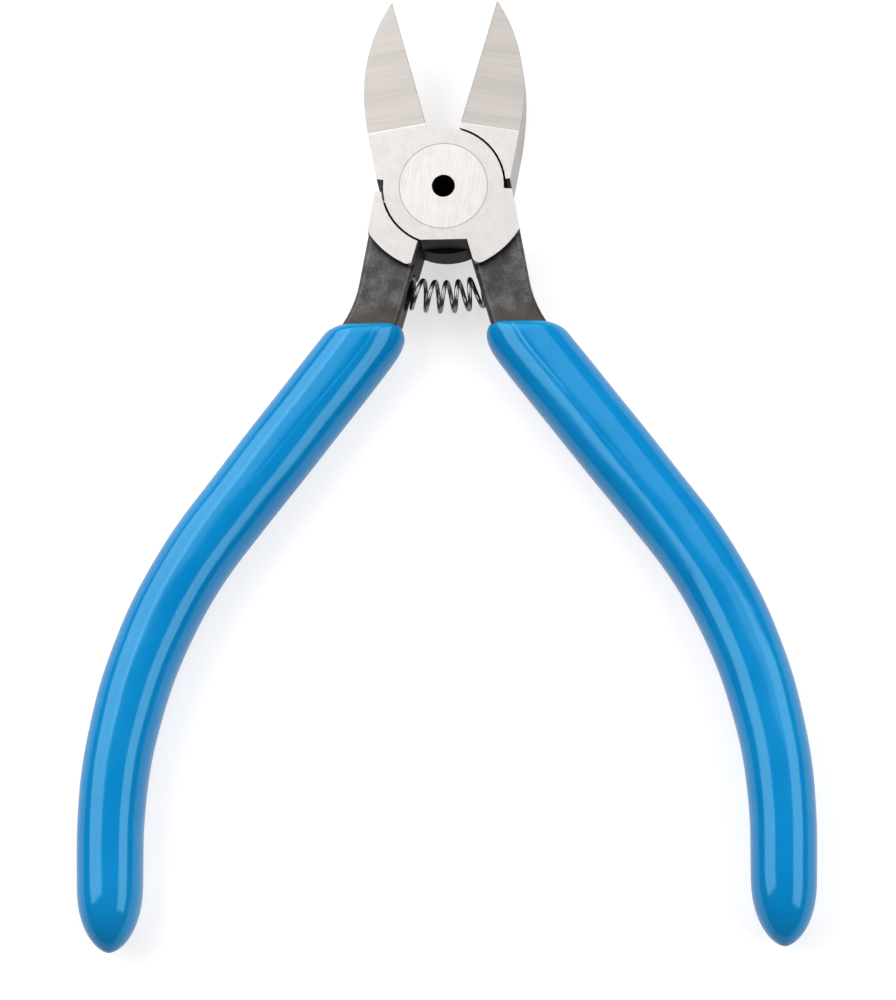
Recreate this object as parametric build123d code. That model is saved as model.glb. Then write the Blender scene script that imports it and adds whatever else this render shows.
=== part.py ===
from build123d import *
import os
from math import cos, pi, radians, sin, sqrt, tan

# Flush cutter, lying flat. Millimetres and degrees.
# Origin: on the pivot axis, halfway through the joint, where the two laps meet.
# +Y points to the jaw tips, +Z out of the flush side, +X to the right.
# The model is the tool at rest, with the return spring holding it open.
# A lever is drawn with its jaw on the left and its handle on the right;
# the other lever is its mirror image with the opposite lap.

# Overall
joint_thickness = 9.0
neck_thickness = 6.6
jaw_length = 25.7  # pivot axis to the tip, jaws closed
rest_opening = 29.6  # between the cutting edges
handle_reach = 94.4  # pivot axis to the end of the grips, along Y
handle_spread = 81.2  # between the handle centrelines at their far ends

# Lap joint
lap_radius = 7.45
lap_gap = 0.27  # round the lap, to the other lever's shoulders
lap_play = 0.05  # between the two lap faces
heel_flat = 6.88  # pivot axis to the flat that ends the upper lap between the handles
pad_radius = 10.95  # the full-height pads end on this circle
pad_corner_round = 0.9  # where that circle meets the inner side

# Opening stops: the faces that meet when the tool is forced wide open
left_jaw_shoulder = 7.0  # above the X axis
left_jaw_stop = 3.5  # pad of the same lever, below the X axis
right_jaw_shoulder = 5.7
right_jaw_stop = 4.6

# Jaw, drawn closed, with its cutting edge along the Y axis
jaw_root_width = 7.95
jaw_shoulder_width = 7.33
jaw_shoulder_reach = 8.85
jaw_belly = (-6.35, 14.9)  # points that the rounded back passes through
jaw_cheek = (-3.9, 20.8)
jaw_back_lean = 6.0
tip_flat = 0.25
edge_clearance = 0.03  # each cutting edge to the closing plane
edge_land = 0.5  # upright band under the cutting edge
flush_start = 8.3  # the flush face leaves the joint face here
flush_slope = 8.0
flush_skew = 5.0
under_start = 9.0
under_slope = 14.0
bevel_angle = 24.0

# Neck and tang
stop_radius = 8.5  # outer corner of the pad, at the stop
neck_flare = 10.2  # outer side of the neck, from the Y axis
inner_wall_angle = 15.7  # inner side of the neck, from the Y axis
inner_wall_offset = 0.94  # its distance from the pivot axis
neck_outer_fillet = 14.0
neck_inner_fillet = 8.0
neck_edge_round = 0.7
splay = 37.3  # straight part of the handle, from the Y axis
bend_radius = 64.0
tail_length = 13.9  # straight end of the handle
tang_width = 6.1
tang_end_cover = 4.4  # vinyl past the end of the tang

# Grip
rim_reach = 17.1  # pivot axis to the dip line
grip_width = 9.05
grip_end_width = 7.85
grip_taper_length = 65.0
grip_thickness = 8.9
grip_wall = 1.25
grip_nose_length = 8.0
nose_taper = 2.2  # higher keeps the nose full for longer
nose_roundness = 0.6  # lower makes its end blunter
grip_corner = 0.44  # section corner radius, as a share of its smaller side
grip_rim_round = 0.5

# Pivot rivet
head_radius = 5.4
head_thickness = 1.7
lower_head_radius = 4.6
lower_head_thickness = 1.5
shank_radius = 3.0
head_play = 0.02
running_play = 0.04
rivet_hole_radius = 1.43

# Return spring
spring_reach = 12.95  # pivot axis to the middle of the spring
spring_diameter = 4.2
wire_diameter = 0.55
spring_pitch = 1.62
socket_play = 0.25  # round the spring
socket_depth = 2.4
spring_end_play = 0.35

# Sections and points that the curved surfaces are drawn through
nose_sections = 6
bend_sections = 5
straight_sections = 4
points_per_turn = 12
cutter_size = 60.0  # blocks that cut the jaws and the heel, larger than the joint

half_joint = joint_thickness / 2
half_opening = rest_opening / 2
half_spread = handle_spread / 2
half_tang = tang_width / 2
bend_end_y = tail_length - handle_reach
bend_centre = (half_spread - bend_radius, bend_end_y)
spring_centre_y = inner_wall_offset / sin(radians(inner_wall_angle))
spring_axis_radius = spring_centre_y + spring_reach


def polar(radius, angle, centre=(0, 0)):
    a = radians(angle)
    return (centre[0] + radius * cos(a), centre[1] + radius * sin(a))


def crossing(a, a_angle, b, b_angle):
    # where two lines meet; each is a point and an angle from the Y axis
    ta = tan(radians(a_angle))
    tb = tan(radians(b_angle))
    y = (a[0] - b[0] + a[1] * ta - b[1] * tb) / (ta - tb)
    return (a[0] - (y - a[1]) * ta, y)


def inner_wall_point():
    return (inner_wall_offset / cos(radians(inner_wall_angle)), 0)


def handle_x(y, offset=0.0):
    # X at height y of the line that runs beside the handle's centreline
    radius = bend_radius + offset
    rise = y - bend_end_y
    if rise <= 0:
        return half_spread + offset
    if rise <= radius * sin(radians(splay)):
        return bend_centre[0] + sqrt(radius**2 - rise**2)
    start = polar(radius, splay, bend_centre)
    return start[0] - (y - start[1]) * tan(radians(splay))


def jaw_plan():
    tip = (-edge_clearance - tip_flat, jaw_length - tip_flat)
    shoulder = (-jaw_shoulder_width, jaw_shoulder_reach)
    root = (-jaw_root_width, 0)
    edge_end = (-edge_clearance, jaw_length - tip_flat / 2)
    lean = radians(jaw_back_lean)
    back = Spline(shoulder, jaw_belly, jaw_cheek, tip, tangents=[(sin(lean), cos(lean)), (1, 1)])
    sides = Polyline(tip, edge_end, (-edge_clearance, 0), root, shoulder)
    return make_face([back, sides])


def jaw_solid(shoulder_angle):
    jaw = extrude(jaw_plan(), amount=half_joint, both=True)
    above = Box(cutter_size, cutter_size, cutter_size, align=(Align.CENTER, Align.MIN, Align.MIN))
    jaw -= Pos(0, flush_start, half_joint) * Rot(Z=-flush_skew) * Rot(X=-flush_slope) * above
    below = Box(cutter_size, cutter_size, cutter_size, align=(Align.CENTER, Align.MIN, Align.MAX))
    jaw -= Pos(0, under_start, -half_joint) * Rot(X=under_slope) * below
    edge = Pos(-edge_clearance, flush_start, half_joint - edge_land) * Rot(X=-flush_slope)
    inside = Box(cutter_size, cutter_size, cutter_size, align=(Align.MIN, Align.CENTER, Align.MAX))
    jaw -= edge * Rot(Y=bevel_angle) * inside
    behind = Box(cutter_size, cutter_size, cutter_size, align=(Align.CENTER, Align.MAX, Align.CENTER))
    return Rot(Z=half_opening) * jaw - Rot(Z=-shoulder_angle) * behind


def handle_plan(stop_angle):
    stop = polar(stop_radius, -stop_angle)
    outer_bend = polar(bend_radius + half_tang, splay, bend_centre)
    inner_bend = polar(bend_radius - half_tang, splay, bend_centre)
    outer_corner = crossing(stop, neck_flare, outer_bend, splay)
    inner_corner = crossing(inner_wall_point(), inner_wall_angle, inner_bend, splay)
    outer_end = half_spread + half_tang
    inner_end = half_spread - half_tang
    end_y = tang_end_cover + half_tang - handle_reach
    root = crossing(stop, 90 - stop_angle, inner_wall_point(), inner_wall_angle)
    outline = [
        Polyline(root, stop, outer_corner, outer_bend),
        ThreePointArc(outer_bend, polar(bend_radius + half_tang, splay / 2, bend_centre),
                      (outer_end, bend_end_y)),
        Line((outer_end, bend_end_y), (outer_end, end_y)),
        ThreePointArc((outer_end, end_y), (half_spread, end_y - half_tang), (inner_end, end_y)),
        Line((inner_end, end_y), (inner_end, bend_end_y)),
        ThreePointArc((inner_end, bend_end_y),
                      polar(bend_radius - half_tang, splay / 2, bend_centre), inner_bend),
        Polyline(inner_bend, inner_corner, root),
    ]
    plan = make_face(outline)
    plan = fillet(plan.vertices().sort_by_distance(outer_corner)[0], neck_outer_fillet)
    return fillet(plan.vertices().sort_by_distance(inner_corner)[0], neck_inner_fillet)


def handle_solid(stop_angle):
    # full height as far as the pad's circle, thinner along the neck and tang
    plan = handle_plan(stop_angle)
    bar = extrude(plan, amount=neck_thickness / 2, both=True)
    rims = bar.faces().sort_by(Axis.Z)[0].edges() + bar.faces().sort_by(Axis.Z)[-1].edges()
    bar = fillet(rims, neck_edge_round)
    pad_plan = plan & Circle(pad_radius)
    inner_corner = polar(pad_radius, inner_wall_angle - 90)
    pad_plan = fillet(pad_plan.vertices().sort_by_distance(inner_corner)[0], pad_corner_round)
    return bar + extrude(pad_plan, amount=half_joint, both=True)


def socket():
    wall = polar(spring_axis_radius, inner_wall_angle - 90, (0, spring_centre_y))
    radius = spring_diameter / 2 + socket_play
    drill = Cylinder(radius, 2 * socket_depth)
    return Pos(*wall) * Rot(Z=inner_wall_angle) * Rot(Y=90) * drill


def lever(shoulder_angle, stop_angle, upper_lap):
    # jaw, lap and handle in one forging; the other lever's lap sits in its pocket
    lap = Circle(lap_radius)
    if upper_lap:
        heel = Rectangle(cutter_size, cutter_size, align=(Align.CENTER, Align.MAX))
        lap -= Pos(0, -heel_flat) * heel
    blank = extrude(lap, amount=half_joint, both=True)
    blank += jaw_solid(shoulder_angle)
    blank += handle_solid(stop_angle)
    pocket = Cylinder(lap_radius + lap_gap, joint_thickness)
    side = 1 if upper_lap else -1
    blank -= Pos(0, 0, side * (lap_play / 2 - half_joint)) * pocket
    return blank - socket()


def upper_bore():
    head = Cylinder(head_radius + head_play, 2 * head_thickness)
    return Cylinder(shank_radius + head_play, 2 * joint_thickness) + Pos(0, 0, half_joint) * head


def lower_bore():
    head = Cylinder(lower_head_radius + running_play, 2 * lower_head_thickness + lap_play)
    shank = Cylinder(shank_radius + running_play, 2 * joint_thickness)
    return shank + Pos(0, 0, -half_joint) * head


def left_jaw_lever():
    return lever(left_jaw_shoulder, left_jaw_stop, True) - upper_bore()


def right_jaw_lever():
    blank = lever(right_jaw_shoulder, right_jaw_stop, False)
    return mirror(blank, about=Plane.YZ) - lower_bore()


def pivot_rivet():
    rivet = Cylinder(shank_radius, joint_thickness)
    top = Pos(0, 0, half_joint)
    rivet += top * Cylinder(head_radius, head_thickness, align=(Align.CENTER, Align.CENTER, Align.MAX))
    foot = Pos(0, 0, -half_joint)
    rivet += foot * Cylinder(lower_head_radius, lower_head_thickness,
                             align=(Align.CENTER, Align.CENTER, Align.MIN))
    return rivet - Cylinder(rivet_hole_radius, 2 * joint_thickness)


def spring_point(along):
    # helix round an arc that meets both necks squarely; along is in millimetres
    swing = along / spring_axis_radius
    turn = 2 * pi * along / spring_pitch
    coil_radius = (spring_diameter - wire_diameter) / 2
    radius = spring_axis_radius + coil_radius * cos(turn)
    x = radius * sin(swing)
    y = spring_centre_y - radius * cos(swing)
    return (x, y, coil_radius * sin(turn))


def return_spring():
    reach = spring_axis_radius * radians(inner_wall_angle) + socket_depth - spring_end_play
    reach -= wire_diameter / 2
    steps = round(2 * reach / spring_pitch * points_per_turn)
    points = [spring_point(-reach + 2 * reach * i / steps) for i in range(steps + 1)]
    path = Spline(*points)
    wire = Plane(path @ 0, z_dir=path % 0) * Circle(wire_diameter / 2)
    return sweep(wire, path=path, is_frenet=True)


def grip_share(y):
    # how much of the full section is left at height y, in the rounded nose
    depth = y + handle_reach
    if depth >= grip_nose_length:
        return 1.0
    return (1 - (1 - depth / grip_nose_length) ** nose_taper) ** nose_roundness


def grip_section(y):
    taper = min((y + handle_reach) / grip_taper_length, 1.0)
    half = (grip_end_width + (grip_width - grip_end_width) * taper) / 2
    outer = handle_x(y, half)
    wall_x = crossing(inner_wall_point(), inner_wall_angle, (0, y), 90)[0]
    inner = max(handle_x(y, -half), wall_x - grip_wall)
    middle = (outer + inner) / 2
    width = (outer - inner) * grip_share(y)
    height = grip_thickness * grip_share(y)
    corner = grip_corner * min(width, height)
    plane = Plane((middle, y, 0), x_dir=(1, 0, 0), z_dir=(0, 1, 0))
    return plane * RectangleRounded(width, height, corner)


def grip(stop_angle):
    # sections close up towards the nose's end, then follow the bend and the straight run
    turns = [10 + 80 * i / (nose_sections - 1) for i in range(nose_sections)]
    heights = [grip_nose_length * (1 - cos(radians(turn))) - handle_reach for turn in turns]
    bend_rise = bend_radius * sin(radians(splay))
    heights += [bend_end_y + bend_rise * i / bend_sections for i in range(bend_sections + 1)]
    straight_y = bend_end_y + bend_rise
    run = -rim_reach - straight_y
    heights += [straight_y + run * i / straight_sections for i in range(1, straight_sections + 1)]
    sleeve = loft([grip_section(y) for y in heights])
    rim = sleeve.faces().sort_by(Axis.Y)[-1]
    sleeve = fillet(rim.edges(), grip_rim_round)
    return sleeve - handle_solid(stop_angle)


def right_grip():
    return grip(left_jaw_stop)


def left_grip():
    return mirror(grip(right_jaw_stop), about=Plane.YZ)


pieces = {
    "left_jaw_lever": left_jaw_lever,
    "right_jaw_lever": right_jaw_lever,
    "pivot_rivet": pivot_rivet,
    "return_spring": return_spring,
    "right_grip": right_grip,
    "left_grip": left_grip,
}

os.makedirs("parts", exist_ok=True)
for name, make in pieces.items():
    export_step(make(), f"parts/{name}.step")
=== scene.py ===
from math import pi, radians
import bpy
import numpy as np
from mathutils import Matrix, Vector


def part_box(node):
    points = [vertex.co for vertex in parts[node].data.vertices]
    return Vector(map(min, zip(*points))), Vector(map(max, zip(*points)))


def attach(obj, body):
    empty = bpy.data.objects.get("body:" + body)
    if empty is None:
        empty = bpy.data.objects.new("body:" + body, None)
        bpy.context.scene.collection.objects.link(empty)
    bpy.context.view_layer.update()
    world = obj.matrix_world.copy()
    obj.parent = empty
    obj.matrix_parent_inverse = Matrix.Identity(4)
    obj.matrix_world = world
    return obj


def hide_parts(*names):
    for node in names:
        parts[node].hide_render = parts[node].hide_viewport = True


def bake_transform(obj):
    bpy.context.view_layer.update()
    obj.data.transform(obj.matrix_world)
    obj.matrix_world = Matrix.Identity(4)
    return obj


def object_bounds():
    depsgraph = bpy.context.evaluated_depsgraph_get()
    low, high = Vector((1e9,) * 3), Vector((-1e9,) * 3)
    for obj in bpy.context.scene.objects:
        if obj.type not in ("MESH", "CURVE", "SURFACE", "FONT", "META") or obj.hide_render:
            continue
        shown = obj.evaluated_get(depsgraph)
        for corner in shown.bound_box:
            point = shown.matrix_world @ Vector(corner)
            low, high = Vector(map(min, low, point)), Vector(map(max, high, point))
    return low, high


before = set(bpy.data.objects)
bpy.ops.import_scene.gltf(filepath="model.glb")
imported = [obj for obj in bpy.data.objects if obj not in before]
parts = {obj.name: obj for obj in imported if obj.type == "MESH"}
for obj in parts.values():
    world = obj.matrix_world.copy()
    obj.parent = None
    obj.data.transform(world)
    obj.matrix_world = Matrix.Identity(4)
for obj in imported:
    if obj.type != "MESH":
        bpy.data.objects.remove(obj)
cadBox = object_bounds()
print("frame loaded")

mm = 0.001
leftJawBody = "left_jaw_body"  # carries the right grip
rightJawBody = "right_jaw_body"  # carries the left grip


# meshes

def newPiece(name, points, faces, smooth=True):
    # points is an (n, 3) array in metres, faces a list of index rows
    mesh = bpy.data.meshes.new(name)
    mesh.from_pydata(points.tolist(), [], faces)
    mesh.polygons.foreach_set("use_smooth", np.full(len(mesh.polygons), smooth))
    mesh.update()
    piece = bpy.data.objects.new(name, mesh)
    bpy.context.scene.collection.objects.link(piece)
    return piece


def tubeFaces(rings, around):
    # quads between each ring and the next, closed round the ring, with a fan at each end point
    row = np.arange(rings - 1)[:, None] * around
    step = np.arange(around)[None, :]
    following = (step + 1) % around
    quads = np.stack([row + step, row + following, row + around + following, row + around + step], -1)
    start = rings * around
    turn = np.arange(around)
    after = (turn + 1) % around
    first = np.stack([np.full(around, start), after, turn], -1)
    last = (rings - 1) * around
    final = np.stack([np.full(around, start + 1), last + turn, last + after], -1)
    return quads.reshape(-1, 4).tolist() + first.tolist() + final.tolist()


def addAttribute(piece, name, values):
    attribute = piece.data.attributes.new(name, "FLOAT", "POINT")
    attribute.data.foreach_set("value", values.astype(np.float32))


# dipped grips

grip = {
    "reach": -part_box("right_grip")[0].y / mm, "spread": 81.2, "rim": 17.1, "splay": 37.3,
    "bendRadius": 64.0, "tail": 13.9, "width": 9.05, "endWidth": 7.85, "taper": 65.0, "thickness": 8.96,
    "nose": 8.0, "noseTaper": 2.2, "noseRoundness": 0.6,
    "wall": 1.25, "lip": 1.9, "lipShare": 0.72, "lipDroop": 0.28, "roundness": 2.3, "around": 192,
    "noseRings": 40, "bodyRings": 230, "lipRings": 22, "insideRings": 60,
    "creaseDepth": 0.07, "creaseWidth": 0.16, "creaseEnd": 37.0, "creasePlace": 0.55, "creaseDrift": 0.09,
    "creaseBlend": 0.6, "waviness": 0.035, "thinRim": 3.0,
}
tang = {
    "width": 6.1, "thickness": 6.6, "endCover": 4.4, "sunk": 0.12, "squareness": 8.0,
    "wallAngle": 15.7, "wallOffset": 0.94, "stopX": 8.48, "stopY": -0.52, "flare": 10.2,
}


def centreX(y, offset):
    # X of the line beside the handle's centreline: upright tail, arc, then a straight splayed run;
    # on the arc X is the bend's centre plus the root of radius squared less rise squared
    bendY = grip["tail"] - grip["reach"]
    bendX = grip["spread"] / 2 - grip["bendRadius"]
    radius = grip["bendRadius"] + offset
    rise = np.clip(y - bendY, 0, radius * np.sin(radians(grip["splay"])))
    arc = bendX + np.sqrt(radius ** 2 - rise ** 2)
    beyond = np.maximum(y - bendY - rise, 0)
    return arc - beyond * np.tan(radians(grip["splay"]))


def neckInnerX(y):
    # straight inner wall of the neck
    angle = radians(tang["wallAngle"])
    return tang["wallOffset"] / np.cos(angle) - y * np.tan(angle)


def smoothMax(a, b, width):
    # the larger of two lines, rounded where they cross: half of their sum and of the root of the
    # squared difference plus the squared width
    return (a + b + np.sqrt((a - b) ** 2 + width ** 2)) / 2


def gripEdges(y):
    # inner and outer X of the vinyl at height y
    taper = np.clip((y + grip["reach"]) / grip["taper"], 0, 1)
    half = (grip["endWidth"] + (grip["width"] - grip["endWidth"]) * taper) / 2
    inner = smoothMax(centreX(y, -half), neckInnerX(y) - grip["wall"], 0.5)
    return inner, centreX(y, half)


def tangEdges(y):
    # inner and outer X of the steel inside
    half = tang["width"] / 2
    inner = smoothMax(centreX(y, -half), neckInnerX(y), 0.3)
    neckOuter = tang["stopX"] + (tang["stopY"] - y) * np.tan(radians(tang["flare"]))
    return inner, smoothMax(centreX(y, half), neckOuter, 0.3)


def noseShare(depth, length):
    # share of the full section left at a depth from the end of the nose: with t the depth over the
    # length, one less (1 - t) to the taper, all raised to the roundness
    t = np.clip(depth / length, 0, 1)
    return (1 - (1 - t) ** grip["noseTaper"]) ** grip["noseRoundness"]


def superRing(angle, power):
    # unit superellipse: cosine and sine raised to 2 / power, so that the corners fill out
    x = np.sign(np.cos(angle)) * np.abs(np.cos(angle)) ** (2 / power)
    z = np.sign(np.sin(angle)) * np.abs(np.sin(angle)) ** (2 / power)
    return x, z


def gripSurface(side):
    # superellipse rings carried along the handle: outer skin from the nose to the rim, round lip,
    # then back down inside to the tang's end; each ring is its middle plus the unit ring times its half size
    angle = np.arange(grip["around"]) / grip["around"] * 2 * pi
    reach = grip["reach"]
    nose = grip["nose"] * (1 - np.cos(np.linspace(0.05, 1, grip["noseRings"]) * pi / 2)) - reach
    body = np.linspace(nose[-1], -grip["rim"] - grip["lip"], grip["bodyRings"])[1:]
    lip = -grip["rim"] - grip["lip"] * (1 - np.sin(np.linspace(0, 1, grip["lipRings"])[1:] * pi / 2))
    insideEnd = tang["endCover"] + 2.2 - reach
    inside = np.linspace(-grip["rim"] - 0.4, insideEnd, grip["insideRings"])
    y = np.concatenate([nose, body, lip])[:, None]
    inner, outer = gripEdges(y)
    share = noseShare(y + reach, grip["nose"])
    x, z = superRing(angle, grip["roundness"])
    middle = (inner + outer) / 2
    skinX = middle + x * (outer - inner) / 2 * share
    skinZ = z * grip["thickness"] / 2 * share
    ripple = (np.sin(y * 0.43 + 2 * x) * np.sin(y * 0.19 + 1.7) - 1) * grip["waviness"]
    skinX += x * ripple * share
    skinZ += z * ripple * share * 0.6
    # fine crease along the flat of the handle, below the neck
    along = np.clip((y + grip["creaseEnd"]) / (grip["creaseEnd"] - grip["rim"]), 0, 1)
    creaseX = outer + (inner - outer) * (grip["creasePlace"] + grip["creaseDrift"] * along)
    groove = np.exp(-((skinX - creaseX) / grip["creaseWidth"]) ** 2) * np.sqrt(along)
    flatShare = np.minimum(np.abs(z), grip["creaseBlend"]) / grip["creaseBlend"]
    skinZ -= np.sign(z) * flatShare * groove * grip["creaseDepth"]
    # the lip turns in to the steel along a quarter circle, and droops on the outer side
    lipLength = grip["lip"] * (grip["lipShare"] - grip["lipDroop"] * x)
    turnIn = np.clip((y + grip["rim"] + lipLength) / lipLength, 0, 1)
    turnIn = 1 - np.sqrt(1 - turnIn ** 2)
    sunk = tang["sunk"]
    steelInner, steelOuter = tangEdges(y)
    boxX, boxZ = superRing(angle, tang["squareness"])
    steelX = (steelInner + steelOuter) / 2 + boxX * ((steelOuter - steelInner) / 2 - sunk)
    steelZ = boxZ * (tang["thickness"] / 2 - sunk)
    skinX += (steelX - skinX) * turnIn
    skinZ += (steelZ - skinZ) * turnIn
    skinY = np.broadcast_to(y, skinX.shape)
    # hidden inner wall
    yIn = inside[:, None]
    steelInner, steelOuter = tangEdges(yIn)
    innerX = (steelInner + steelOuter) / 2 + boxX * ((steelOuter - steelInner) / 2 - sunk)
    innerZ = np.broadcast_to(steelZ[-1], innerX.shape)
    innerY = np.broadcast_to(yIn, innerX.shape)
    xs = np.concatenate([skinX, innerX])
    ys = np.concatenate([skinY, innerY])
    zs = np.concatenate([skinZ, innerZ])
    rings = len(xs)
    points = np.stack([xs, ys, zs], -1).reshape(-1, 3)
    tip = [[float(middle[0, 0]), -reach, 0.0]]
    floor = [[float(innerX[-1].mean()), float(yIn[-1, 0]) - 0.3, 0.0]]
    points = np.concatenate([points, tip, floor]) * mm
    points[:, 0] *= side
    faces = tubeFaces(rings, grip["around"])
    if side > 0:
        faces = [row[::-1] for row in faces]
    rim = np.clip((ys + grip["rim"] + grip["thinRim"]) / grip["thinRim"], 0, 1).reshape(-1)
    return points, faces, np.concatenate([rim, [0, 0]])


def makeGrip(side, name, node, body, material):
    points, faces, rim = gripSurface(side)
    piece = newPiece(name, points, faces)
    addAttribute(piece, "rim", rim)
    piece.data.materials.append(material)
    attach(piece, body)
    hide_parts(node)
    return piece


# return spring

spring = {
    "reach": 12.95, "diameter": 4.2, "wire": 0.55, "pitch": 1.62, "halfLength": 6.25,
    "perTurn": 40, "around": 16, "phase": 0.35, "blendReach": 9.4,
}


def springSurface():
    # a round wire carried along a helix: its distance from the arc's centre is the arc's radius plus
    # the coil's times the cosine of the turn, its height the coil's times the sine, and the arc meets
    # both necks squarely
    arcCentre = tang["wallOffset"] / np.sin(radians(tang["wallAngle"]))
    arcRadius = arcCentre + spring["reach"]
    coil = (spring["diameter"] - spring["wire"]) / 2
    half = spring["halfLength"]
    count = int(2 * half / spring["pitch"] * spring["perTurn"])
    along = np.linspace(-half, half, count)
    swing = along / arcRadius
    turn = 2 * pi * along / spring["pitch"] + spring["phase"] * 2 * pi

    def helix(swing, turn):
        radius = arcRadius + coil * np.cos(turn)
        flat = [radius * np.sin(swing), arcCentre - radius * np.cos(swing), coil * np.sin(turn)]
        return np.stack(flat, -1)

    centre = helix(swing, turn)
    tangent = np.gradient(centre, axis=0)
    tangent /= np.linalg.norm(tangent, axis=1, keepdims=True)
    axis = np.stack([arcRadius * np.sin(swing), arcCentre - arcRadius * np.cos(swing), 0 * swing], -1)
    outward = centre - axis
    outward -= (outward * tangent).sum(1, keepdims=True) * tangent
    outward /= np.linalg.norm(outward, axis=1, keepdims=True)
    sideways = np.cross(tangent, outward)
    angle = np.arange(spring["around"]) / spring["around"] * 2 * pi
    ring = outward[:, None] * np.cos(angle)[:, None] + sideways[:, None] * np.sin(angle)[:, None]
    points = centre[:, None] + ring * spring["wire"] / 2
    points = np.concatenate([points.reshape(-1, 3), centre[:1], centre[-1:]]) * mm
    return points, tubeFaces(count, spring["around"])


def makeSpring(material):
    points, faces = springSurface()
    piece = newPiece("coiledSpring", points, faces)
    piece.data.materials.append(material)
    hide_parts("return_spring")
    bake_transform(piece)
    return piece


# materials

def addNode(tree, kind, **settings):
    # node with plain properties set by name and sockets set by a dictionary
    node = tree.nodes.new(kind)
    sockets = settings.pop("sockets", {})
    for name, value in settings.items():
        setattr(node, name, value)
    for name, value in sockets.items():
        if isinstance(value, bpy.types.NodeSocket):
            tree.links.new(value, node.inputs[name])
        else:
            node.inputs[name].default_value = value
    return node


def calc(tree, operation, a, b=0.0, c=0.0):
    node = addNode(tree, "ShaderNodeMath", operation=operation, sockets={0: a, 1: b, 2: c})
    return node.outputs[0]


def blendColor(tree, factor, a, b):
    node = addNode(tree, "ShaderNodeMix", data_type="RGBA", sockets={0: factor, 6: a, 7: b})
    return node.outputs[2]


def blendValue(tree, factor, a, b):
    node = addNode(tree, "ShaderNodeMix", data_type="FLOAT", sockets={0: factor, 2: a, 3: b})
    return node.outputs[0]


def invert(tree, value):
    return calc(tree, "SUBTRACT", 1.0, value)


def weighted(tree, a, share, b):
    # two patterns in one tone: the share of the first, and the rest of the second
    return calc(tree, "MULTIPLY_ADD", a, share, calc(tree, "MULTIPLY", b, 1 - share))


def addBump(tree, shader, height, strength, distance=0.02):
    # distance in millimetres
    bump = addNode(tree, "ShaderNodeBump",
                   sockets={"Height": height, "Strength": strength, "Distance": distance * mm})
    tree.links.new(bump.outputs[0], shader.inputs["Normal"])


def ramp(tree, value, low, high):
    # 0 at low, 1 at high, smooth between
    node = addNode(tree, "ShaderNodeMapRange", interpolation_type="SMOOTHSTEP",
                   sockets={"Value": value, "From Min": low, "From Max": high})
    return node.outputs[0]


def remap(tree, value, low, high):
    node = addNode(tree, "ShaderNodeMapRange",
                   sockets={"Value": value, "To Min": low, "To Max": high})
    return node.outputs[0]


def newMaterial(name):
    material = bpy.data.materials.new(name)
    material.use_nodes = True
    tree = material.node_tree
    tree.nodes.clear()
    output = tree.nodes.new("ShaderNodeOutputMaterial")
    shader = tree.nodes.new("ShaderNodeBsdfPrincipled")
    tree.links.new(shader.outputs[0], output.inputs[0])
    return material, tree, shader


def newGroup(name, inputs, outputs):
    tree = bpy.data.node_groups.new(name, "ShaderNodeTree")
    for socketName, kind, value in inputs:
        socket = tree.interface.new_socket(socketName, in_out="INPUT", socket_type=kind)
        if value is not None:
            socket.default_value = value
    for socketName, kind in outputs:
        tree.interface.new_socket(socketName, in_out="OUTPUT", socket_type=kind)
    return tree, tree.nodes.new("NodeGroupInput"), tree.nodes.new("NodeGroupOutput")


def useGroup(tree, group, **sockets):
    node = tree.nodes.new("ShaderNodeGroup")
    node.node_tree = group
    for name, value in sockets.items():
        if isinstance(value, bpy.types.NodeSocket):
            tree.links.new(value, node.inputs[name])
        else:
            node.inputs[name].default_value = value
    return node


def makeStreakGroup():
    # ground steel: long fine streaks along one direction, with broader bands under them
    inputs = [("Place", "NodeSocketVector", None), ("Angle", "NodeSocketFloat", 0.0),
              ("Fine", "NodeSocketFloat", 4000.0), ("Stretch", "NodeSocketFloat", 0.03)]
    outputs = [("Streak", "NodeSocketFloat"), ("Band", "NodeSocketFloat")]
    tree, given, result = newGroup("streaks", inputs, outputs)
    turn = addNode(tree, "ShaderNodeVectorRotate", rotation_type="Z_AXIS",
                   sockets={"Vector": given.outputs["Place"], "Angle": given.outputs["Angle"]})
    split = addNode(tree, "ShaderNodeSeparateXYZ", sockets={0: turn.outputs[0]})
    lengthwise = calc(tree, "MULTIPLY", split.outputs[0], given.outputs["Stretch"])
    line = addNode(tree, "ShaderNodeCombineXYZ",
                   sockets={0: lengthwise, 1: split.outputs[1], 2: split.outputs[2]})
    fine = addNode(tree, "ShaderNodeTexNoise",
                   sockets={"Vector": line.outputs[0], "Scale": given.outputs["Fine"], "Detail": 3.0})
    broadScale = calc(tree, "MULTIPLY", given.outputs["Fine"], 0.12)
    broad = addNode(tree, "ShaderNodeTexNoise",
                    sockets={"Vector": line.outputs[0], "Scale": broadScale, "Detail": 2.0})
    tree.links.new(fine.outputs[0], result.inputs["Streak"])
    tree.links.new(broad.outputs[0], result.inputs["Band"])
    return tree


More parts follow.
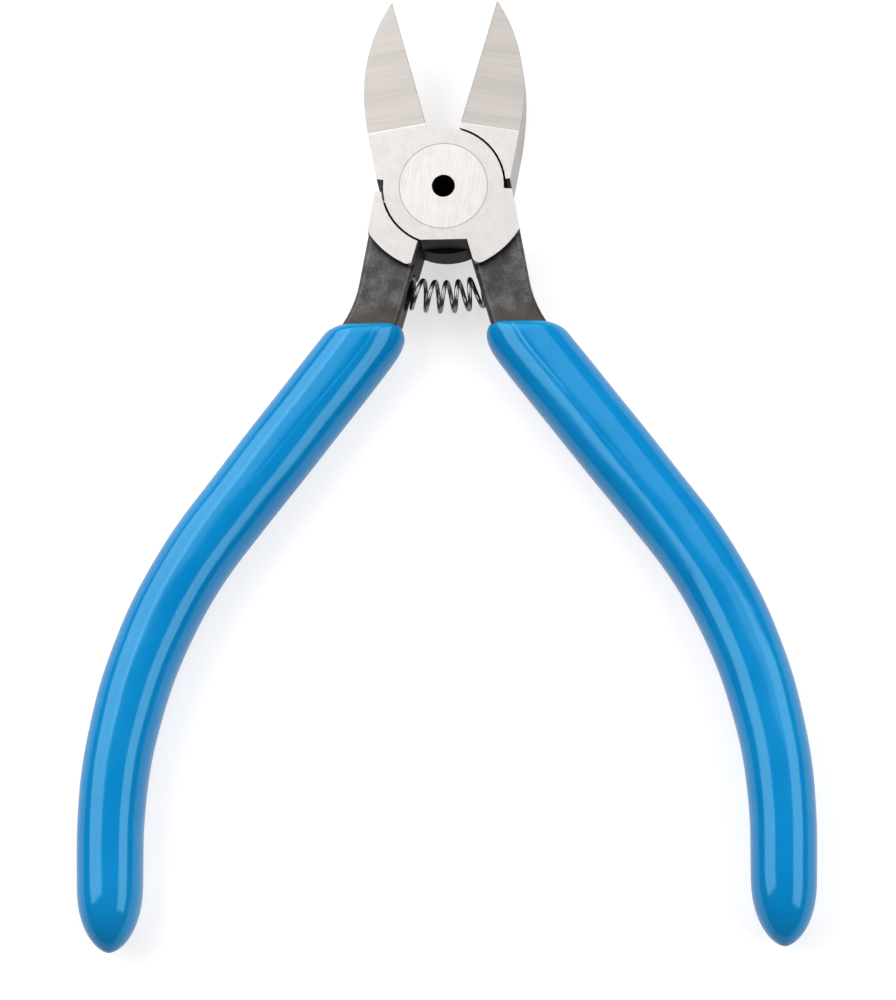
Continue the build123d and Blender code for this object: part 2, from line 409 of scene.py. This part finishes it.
def makeMottleGroup():
    # soft blotches and fine pitting, for scale, oxide and handling
    inputs = [("Place", "NodeSocketVector", None), ("Size", "NodeSocketFloat", 700.0)]
    outputs = [("Blotch", "NodeSocketFloat"), ("Pit", "NodeSocketFloat")]
    tree, given, result = newGroup("mottle", inputs, outputs)
    blotch = addNode(tree, "ShaderNodeTexNoise",
                     sockets={"Vector": given.outputs["Place"], "Scale": given.outputs["Size"],
                              "Detail": 4.0, "Roughness": 0.6})
    fineScale = calc(tree, "MULTIPLY", given.outputs["Size"], 7.0)
    pit = addNode(tree, "ShaderNodeTexNoise",
                  sockets={"Vector": given.outputs["Place"], "Scale": fineScale, "Detail": 2.0})
    tree.links.new(blotch.outputs[0], result.inputs["Blotch"])
    tree.links.new(pit.outputs[0], result.inputs["Pit"])
    return tree


steel = {
    "face": (0.69, 0.665, 0.65, 1), "faceDark": (0.59, 0.565, 0.55, 1),
    "jaw": (0.52, 0.483, 0.46, 1), "jawDark": (0.442, 0.412, 0.392, 1),
    # the edge colour and the near-black step colour here are painted shade: the shaded cutting-edge bevel and
    # the shadow in the corner under each pad's step
    "side": (0.60, 0.58, 0.565, 1), "edge": (0.25, 0.24, 0.235, 1), "stepShade": (0.016, 0.013, 0.012, 1),
    "oxide": (0.044, 0.041, 0.040, 1), "oxideLight": (0.13, 0.124, 0.121, 1),
    "ring": (0.42, 0.40, 0.39, 1), "warmOxide": (0.066, 0.057, 0.051, 1),
    "edgeStrip": 0.26, "stripStart": 6.9, "rivetRadius": 5.42, "edgeShadeLine": 0.14, "corner": 0.4,
    "restTurn": 14.8, "flushStart": 8.3, "flushSkew": 5.0, "jawStart": 7.62,
    "faceLevel": 4.48, "padRadius": 10.85, "shoulderRadius": 7.95, "scaleStart": 15.0, "scaleEnd": 17.0,
    "faceAngle": 52, "faceFine": 9000.0, "faceStretch": 0.12,
    "jawAngle": -5, "jawFine": 3400.0, "jawStretch": 0.03, "blotchSize": 520.0,
}


def leverMaterial(side, streaks, mottle):
    # side is -1 for the lever with the left jaw, 1 for the other
    material, tree, shader = newMaterial("leverSteelLeft" if side < 0 else "leverSteelRight")
    place = tree.nodes.new("ShaderNodeTexCoord").outputs["Object"]
    normal = tree.nodes.new("ShaderNodeTexCoord").outputs["Normal"]
    spot = addNode(tree, "ShaderNodeSeparateXYZ", sockets={0: place})
    facing = addNode(tree, "ShaderNodeSeparateXYZ", sockets={0: normal})
    jawTurn = radians(steel["restTurn"]) * side
    turned = addNode(tree, "ShaderNodeVectorRotate", rotation_type="Z_AXIS",
                     sockets={"Vector": place, "Angle": jawTurn})
    jawSpot = addNode(tree, "ShaderNodeSeparateXYZ", sockets={0: turned.outputs[0]})
    upright = calc(tree, "ABSOLUTE", facing.outputs[2])
    level = calc(tree, "ABSOLUTE", spot.outputs[2])
    # ground joint faces: flat, and at full height
    flat = ramp(tree, upright, 0.6, 0.8)
    high = ramp(tree, level, (steel["faceLevel"] - 0.02) * mm, steel["faceLevel"] * mm)
    jointFace = calc(tree, "MULTIPLY", flat, high)
    # ground jaw: everything forward of the lap, past the slanting grinding line
    fromEdge = calc(tree, "ABSOLUTE", jawSpot.outputs[0])
    slant = calc(tree, "MULTIPLY", fromEdge, np.tan(radians(steel["flushSkew"])))
    forward = calc(tree, "SUBTRACT", jawSpot.outputs[1], slant)
    flushFace = ramp(tree, forward, (steel["flushStart"] - 0.03) * mm, (steel["flushStart"] + 0.03) * mm)
    jawSkin = ramp(tree, jawSpot.outputs[1], steel["jawStart"] * mm, (steel["jawStart"] + 0.15) * mm)
    jaw = calc(tree, "MULTIPLY", calc(tree, "MAXIMUM", flushFace, jawSkin), invert(tree, jointFace))
    # ground outer sides of the joint
    around = addNode(tree, "ShaderNodeCombineXYZ", sockets={0: spot.outputs[0], 1: spot.outputs[1]})
    outwards = addNode(tree, "ShaderNodeVectorMath", operation="NORMALIZE", sockets={0: around.outputs[0]})
    lean = addNode(tree, "ShaderNodeVectorMath", operation="DOT_PRODUCT",
                   sockets={0: outwards.outputs[0], 1: normal}).outputs["Value"]
    radius = addNode(tree, "ShaderNodeVectorMath", operation="LENGTH",
                     sockets={0: around.outputs[0]}).outputs["Value"]
    outer = calc(tree, "MULTIPLY", ramp(tree, lean, 0.4, 0.6),
                 ramp(tree, radius, steel["shoulderRadius"] * mm, (steel["shoulderRadius"] + 0.1) * mm))
    beyondPad = ramp(tree, radius, (steel["padRadius"] - 0.04) * mm, steel["padRadius"] * mm)
    neck = calc(tree, "MULTIPLY", beyondPad, calc(tree, "LESS_THAN", spot.outputs[1], 0.0))
    outer = calc(tree, "MULTIPLY", outer, invert(tree, neck))
    # the unground edge left along the inner side of each pad
    wallAngle = radians(tang["wallAngle"])
    across = calc(tree, "MULTIPLY", calc(tree, "ABSOLUTE", spot.outputs[0]), np.cos(wallAngle))
    fromWall = calc(tree, "MULTIPLY_ADD", spot.outputs[1], np.sin(wallAngle), across)
    strip = tang["wallOffset"] + (steel["edgeStrip"] if side > 0 else 0)
    ground = ramp(tree, fromWall, (strip - 0.06) * mm, strip * mm)
    aboveStrip = calc(tree, "GREATER_THAN", spot.outputs[1], -steel["stripStart"] * mm)
    ground = calc(tree, "MAXIMUM", ground, aboveStrip)
    jointFace = calc(tree, "MULTIPLY", jointFace, ground)
    bright = calc(tree, "MAXIMUM", calc(tree, "MAXIMUM", jointFace, jaw), outer)
    # grinding marks
    faceMarks = useGroup(tree, streaks, Place=place, Angle=radians(steel["faceAngle"]),
                         Fine=steel["faceFine"], Stretch=steel["faceStretch"])
    jawMarks = useGroup(tree, streaks, Place=turned.outputs[0], Angle=radians(steel["jawAngle"]) * side,
                        Fine=steel["jawFine"], Stretch=steel["jawStretch"])
    spots = useGroup(tree, mottle, Place=place, Size=steel["blotchSize"])
    faceTone = weighted(tree, faceMarks.outputs["Streak"], 0.55, spots.outputs["Blotch"])
    faceColor = blendColor(tree, ramp(tree, faceTone, 0.30, 0.68), steel["faceDark"], steel["face"])
    ringMark = calc(tree, "SUBTRACT", radius, steel["rivetRadius"] * mm)
    ringMark = ramp(tree, calc(tree, "ABSOLUTE", ringMark), 0.05 * mm, 0.14 * mm)
    faceColor = blendColor(tree, ringMark, steel["ring"], faceColor)
    jawTone = weighted(tree, jawMarks.outputs["Band"], 0.65, jawMarks.outputs["Streak"])
    jawColor = blendColor(tree, ramp(tree, jawTone, 0.34, 0.66), steel["jawDark"], steel["jaw"])
    # black oxide, warmer beside the vinyl, with painted shade in the corner under each pad's step
    oxideTone = weighted(tree, spots.outputs["Blotch"], 0.7, spots.outputs["Pit"])
    oxideColor = blendColor(tree, ramp(tree, oxideTone, 0.38, 0.68), steel["oxide"], steel["oxideLight"])
    warm = ramp(tree, spot.outputs[1], -steel["scaleStart"] * mm, -steel["scaleEnd"] * mm)
    oxideColor = blendColor(tree, warm, oxideColor, steel["warmOxide"])
    # painted shade: the corner just outside each pad's step darkens to near-black where the step's shadow
    # falls
    corner = ramp(tree, radius, steel["padRadius"] * mm, (steel["padRadius"] + steel["corner"]) * mm)
    oxideColor = blendColor(tree, corner, steel["stepShade"], oxideColor)
    # painted shade: a dark line along each cutting edge stands in for its shaded bevel
    edgeShadeLine = ramp(tree, fromEdge, 0.5 * steel["edgeShadeLine"] * mm, steel["edgeShadeLine"] * mm)
    jawColor = blendColor(tree, edgeShadeLine, steel["edge"], jawColor)
    color = blendColor(tree, jaw, faceColor, jawColor)
    color = blendColor(tree, flat, steel["side"], color)
    color = blendColor(tree, bright, oxideColor, color)
    tree.links.new(color, shader.inputs["Base Color"])
    faceRough = calc(tree, "MULTIPLY_ADD", faceTone, 0.16, 0.26)
    brightRough = calc(tree, "MULTIPLY_ADD", jaw, 0.12, faceRough)
    oxideRough = remap(tree, spots.outputs["Pit"], 0.38, 0.58)
    tree.links.new(blendValue(tree, bright, oxideRough, brightRough), shader.inputs["Roughness"])
    tree.links.new(remap(tree, bright, 0.55, 1.0), shader.inputs["Metallic"])
    markHeight = blendValue(tree, jaw, faceMarks.outputs["Streak"], jawMarks.outputs["Streak"])
    oxideHeight = calc(tree, "MULTIPLY", oxideTone, 3.0)
    addBump(tree, shader, blendValue(tree, bright, oxideHeight, markHeight), 0.22)
    return material


rivet = {
    "dark": (0.655, 0.632, 0.62, 1), "light": (0.74, 0.718, 0.705, 1), "hole": (0.012, 0.010, 0.009, 1),
    "angle": 98, "fine": 5200.0, "stretch": 0.06, "blotchSize": 420.0, "holeTop": 4.3, "faceStart": 4.45,
}


def rivetMaterial(streaks, mottle):
    # head faces ground bright with near-upright marks; the drilled hole stays dark
    material, tree, shader = newMaterial("rivetSteel")
    place = tree.nodes.new("ShaderNodeTexCoord").outputs["Object"]
    spot = addNode(tree, "ShaderNodeSeparateXYZ", sockets={0: place})
    around = addNode(tree, "ShaderNodeCombineXYZ", sockets={0: spot.outputs[0], 1: spot.outputs[1]})
    radius = addNode(tree, "ShaderNodeVectorMath", operation="LENGTH",
                     sockets={0: around.outputs[0]}).outputs["Value"]
    marks = useGroup(tree, streaks, Place=place, Angle=radians(rivet["angle"]),
                     Fine=rivet["fine"], Stretch=rivet["stretch"])
    spots = useGroup(tree, mottle, Place=place, Size=rivet["blotchSize"])
    tone = weighted(tree, marks.outputs["Streak"], 0.6, spots.outputs["Blotch"])
    color = blendColor(tree, ramp(tree, tone, 0.36, 0.62), rivet["dark"], rivet["light"])
    level = calc(tree, "ABSOLUTE", spot.outputs[2])
    face = ramp(tree, level, rivet["holeTop"] * mm, rivet["faceStart"] * mm)
    color = blendColor(tree, face, rivet["hole"], color)
    tree.links.new(color, shader.inputs["Base Color"])
    tree.links.new(calc(tree, "MULTIPLY_ADD", tone, 0.16, 0.24), shader.inputs["Roughness"])
    tree.links.new(remap(tree, face, 0.4, 1.0), shader.inputs["Metallic"])
    addBump(tree, shader, marks.outputs["Streak"], 0.2)
    return material


wire = {"dark": (0.20, 0.185, 0.17, 1), "light": (0.42, 0.40, 0.38, 1), "blotchSize": 1500.0}


def springMaterial(mottle):
    # drawn wire with a thin dark oil film
    material, tree, shader = newMaterial("springWire")
    place = tree.nodes.new("ShaderNodeTexCoord").outputs["Object"]
    spots = useGroup(tree, mottle, Place=place, Size=wire["blotchSize"])
    color = blendColor(tree, spots.outputs["Blotch"], wire["dark"], wire["light"])
    tree.links.new(color, shader.inputs["Base Color"])
    tree.links.new(remap(tree, spots.outputs["Pit"], 0.16, 0.34), shader.inputs["Roughness"])
    shader.inputs["Metallic"].default_value = 1.0
    return material


vinyl = {
    "color": (0.004, 0.255, 0.60, 1), "deep": (0.001, 0.225, 0.555, 1), "rim": (0.006, 0.285, 0.62, 1),
    "glossTint": (0.45, 0.95, 1.0, 1), "roughLow": 0.09, "roughHigh": 0.17, "ior": 1.56,
    "blotchSize": 90.0, "peelSize": 260.0,
}


def vinylMaterial(mottle):
    # thick glossy dip: slow tone changes, a paler thin rim, slight orange peel
    material, tree, shader = newMaterial("dippedVinyl")
    place = tree.nodes.new("ShaderNodeTexCoord").outputs["Object"]
    spots = useGroup(tree, mottle, Place=place, Size=vinyl["blotchSize"])
    rim = addNode(tree, "ShaderNodeAttribute", attribute_name="rim", attribute_type="GEOMETRY").outputs["Fac"]
    color = blendColor(tree, ramp(tree, spots.outputs["Blotch"], 0.3, 0.7), vinyl["deep"], vinyl["color"])
    thin = ramp(tree, rim, 0.35, 1.0)
    color = blendColor(tree, thin, color, vinyl["rim"])
    tree.links.new(color, shader.inputs["Base Color"])
    rough = remap(tree, spots.outputs["Pit"], vinyl["roughLow"], vinyl["roughHigh"])
    tree.links.new(rough, shader.inputs["Roughness"])
    shader.inputs["IOR"].default_value = vinyl["ior"]
    shader.inputs["Specular Tint"].default_value = vinyl["glossTint"]
    peel = addNode(tree, "ShaderNodeTexNoise",
                   sockets={"Vector": place, "Scale": vinyl["peelSize"], "Detail": 2.0})
    addBump(tree, shader, peel.outputs[0], 0.12, distance=0.12)
    return material


# studio

studio = {
    "distance": 650.0, "tiltRight": 3.7, "tiltBelow": 17.3, "aim": (0.29, -38.8, 0.0),
    "lens": 126.32, "sensor": 24.0, "floor": (0.52, 0.515, 0.51, 1), "floorGlow": 0.34, "floorBounce": 0.3,
    "floorHalf": 3.0, "floorDrop": 0.1, "shadeRadius": 7.55, "shadeFade": 0.6, "world": 0.06,
}
softboxes = [
    # swing is the angle from upright, to the right of the tool; lean is the angle towards the jaws
    {"name": "softboxLeft", "swing": -41, "lean": 25, "reach": 620, "width": 480, "length": 720, "glow": 3.0},
    {"name": "softboxRight", "swing": 48, "lean": 0, "reach": 620, "width": 420, "length": 640, "glow": 3.0},
    {"name": "ceilingPanel", "swing": 0, "lean": 37, "reach": 900, "width": 900, "length": 780, "glow": 1.46},
]


def makeCamera():
    # stands off the middle of the joint's top face and keeps the tool's +Y upright in the view
    joint = Vector((0, 0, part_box("left_jaw_lever")[1].z))
    away = Vector((np.tan(radians(studio["tiltRight"])), -np.tan(radians(studio["tiltBelow"])), 1))
    away.normalize()
    data = bpy.data.cameras.new("viewCamera")
    data.sensor_fit = "VERTICAL"
    data.sensor_height = studio["sensor"]
    data.lens = studio["lens"]
    data.clip_start = 0.01
    data.clip_end = 20
    camera = bpy.data.objects.new("viewCamera", data)
    camera.location = joint + away * studio["distance"] * mm
    ahead = (Vector(studio["aim"]) * mm - camera.location).normalized()
    right = ahead.cross(Vector((0, 1, 0))).normalized()
    turn = Matrix((right, right.cross(ahead), -ahead)).transposed()
    camera.rotation_euler = turn.to_euler()
    bpy.context.scene.collection.objects.link(camera)
    bpy.context.scene.camera = camera


def makeLights():
    # each softbox's power is its glow times pi times its area
    centre = Vector(studio["aim"]) * mm
    for box in softboxes:
        data = bpy.data.lights.new(box["name"], "AREA")
        data.shape = "RECTANGLE"
        data.size = box["width"] * mm
        data.size_y = box["length"] * mm
        data.energy = box["glow"] * pi * data.size * data.size_y
        lamp = bpy.data.objects.new(box["name"], data)
        turn = Matrix.Rotation(radians(-box["lean"]), 3, "X") @ Matrix.Rotation(radians(box["swing"]), 3, "Y")
        lamp.location = centre + turn @ Vector((0, 0, box["reach"] * mm))
        lamp.rotation_euler = turn.to_euler()
        bpy.context.scene.collection.objects.link(lamp)
    world = bpy.data.worlds.new("studioWorld")
    bpy.context.scene.world = world
    world.use_nodes = True
    world.node_tree.nodes["Background"].inputs[0].default_value = (1, 0.99, 0.98, 1)
    world.node_tree.nodes["Background"].inputs[1].default_value = studio["world"]


def makeFloor():
    size = studio["floorHalf"]
    z = cadBox[0][2] - studio["floorDrop"] * mm
    points = np.array([(-size, -size, z), (size, -size, z), (size, size, z), (-size, size, z)])
    floor = newPiece("floor", points, [(0, 1, 2, 3)], smooth=False)
    material, tree, shader = newMaterial("paleFloor")
    shader.inputs["Base Color"].default_value = studio["floor"]
    shader.inputs["Roughness"].default_value = 0.7
    shader.inputs["Emission Color"].default_value = (1, 0.985, 0.975, 1)
    # the glow that whitens the floor for the camera stops under the joint, leaving a painted shadow there
    place = tree.nodes.new("ShaderNodeTexCoord").outputs["Object"]
    radius = addNode(tree, "ShaderNodeVectorMath", operation="LENGTH", sockets={0: place}).outputs["Value"]
    shadeEnd = studio["shadeRadius"] + studio["shadeFade"]
    clear = ramp(tree, radius, studio["shadeRadius"] * mm, shadeEnd * mm)
    seen = tree.nodes.new("ShaderNodeLightPath").outputs["Is Camera Ray"]
    glow = calc(tree, "MULTIPLY_ADD", seen, studio["floorGlow"], studio["floorBounce"])
    glow = calc(tree, "MULTIPLY", glow, clear)
    tree.links.new(glow, shader.inputs["Emission Strength"])
    floor.data.materials.append(material)


def wear(node, material):
    node.data.materials.clear()
    node.data.materials.append(material)


makeCamera()
makeLights()
makeFloor()
print("studio ready")
streakGroup = makeStreakGroup()
mottleGroup = makeMottleGroup()
wear(parts["left_jaw_lever"], leverMaterial(-1, streakGroup, mottleGroup))
wear(parts["right_jaw_lever"], leverMaterial(1, streakGroup, mottleGroup))
wear(parts["pivot_rivet"], rivetMaterial(streakGroup, mottleGroup))
print("steel ready")
dip = vinylMaterial(mottleGroup)
makeGrip(1, "rightGripSleeve", "right_grip", leftJawBody, dip)
makeGrip(-1, "leftGripSleeve", "left_grip", rightJawBody, dip)
print("grips ready")
makeSpring(springMaterial(mottleGroup))
print("spring ready")

view = bpy.context.scene.view_settings
view.view_transform = "Standard"
